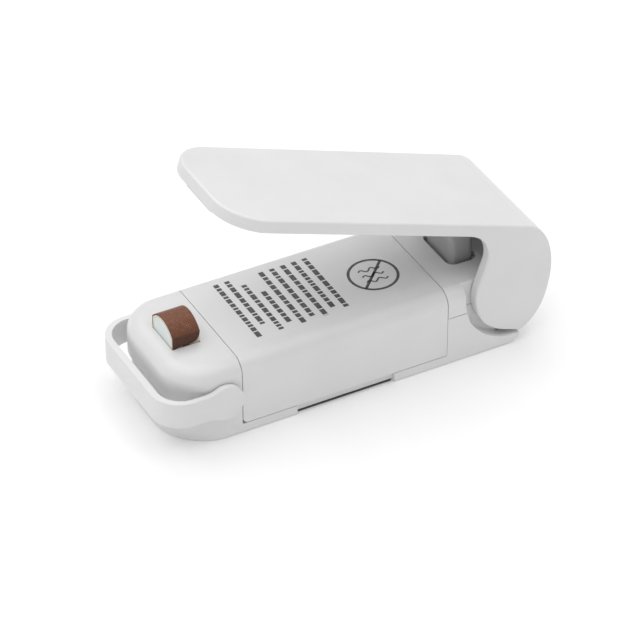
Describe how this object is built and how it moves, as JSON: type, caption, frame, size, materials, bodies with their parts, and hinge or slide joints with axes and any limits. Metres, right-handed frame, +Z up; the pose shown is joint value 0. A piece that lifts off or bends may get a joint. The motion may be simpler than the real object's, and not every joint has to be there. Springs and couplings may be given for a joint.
{
  "type": "handheld bag heat sealer",
  "caption": "Handheld battery bag sealer: body with a heated nose, sprung pressing arm and return post, lift-off battery cover, base magnet and a swinging carrying ring.",
  "frame": {"origin": "on the base plane, under the middle of the battery cover", "axes": "+Z up, +X along the body to the hinge with the heated nose at -X, +Y across the width"},
  "size_m": [0.112, 0.0404, 0.0658],
  "materials": {
    "shell": "smooth",
    "tape": "woven, slightly glossy",
    "heat_pad": "matte",
    "block": "matte",
    "steel": "bright",
    "brass": "satin",
    "cell": "satin",
    "dark": "matte",
    "button": "satin",
    "lead_red": "satin",
    "lead_black": "satin",
    "magnet": "matte",
    "press_pad": "matte"
  },
  "bodies": {
    "body": {"chassis": "shell", "head_shell": "shell", "rear_cap": "shell", "base_magnet": "magnet", "housing_screws": "steel", "hinge_pin": "steel", "battery_left": "cell", "battery_right": "cell", "bridge_contact": "steel", "positive_contact": "steel", "negative_contact": "steel", "contact_springs": "steel", "ptfe_tape": "tape", "heat_pad": "heat_pad", "heating_ribbon": "steel", "heater_block": "block", "ribbon_terminals": "brass", "return_spring": "steel", "switch_body": "dark", "lead_positive": "lead_red", "lead_heater": "lead_red", "lead_negative": "lead_black"},
    "arm": {"press_arm": "shell", "press_pad": "press_pad"},
    "plunger": {"return_plunger": "shell"},
    "button": {"switch_button": "button"},
    "cover": {"battery_cover": "shell"},
    "ring": {"bail": "shell"}
  },
  "joints": [
    {"name": "arm_hinge", "type": "hinge", "parent": "body", "child": "arm", "pos_m": [0.05, 0, 0.0145], "axis": [0, -1, 0], "range_deg": [0, 21.25], "stiffness_Nm_per_rad": 0.25, "springref_deg": -28.65},
    {"name": "plunger_slide", "type": "slide", "parent": "body", "child": "plunger", "axis": [0, 0, -1], "range_m": [0, 0.0049], "deforming": ["return_spring"]},
    {"name": "button_slide", "type": "slide", "parent": "body", "child": "button", "axis": [0, 0, -1], "range_m": [0, 0.0004], "stiffness_N_per_m": 500},
    {"name": "cover_lift", "type": "slide", "parent": "body", "child": "cover", "axis": [0, 0, 1], "range_m": [0, 0.006]},
    {"name": "bail_hinge", "type": "hinge", "parent": "body", "child": "ring", "pos_m": [-0.0348, 0, 0.0124], "axis": [0, 1, 0], "range_deg": [0, 43]}
  ],
  "couplings": [
    {"joint": "plunger_slide", "follows": "arm_hinge", "m_per_rad": 0.013196}
  ]
}
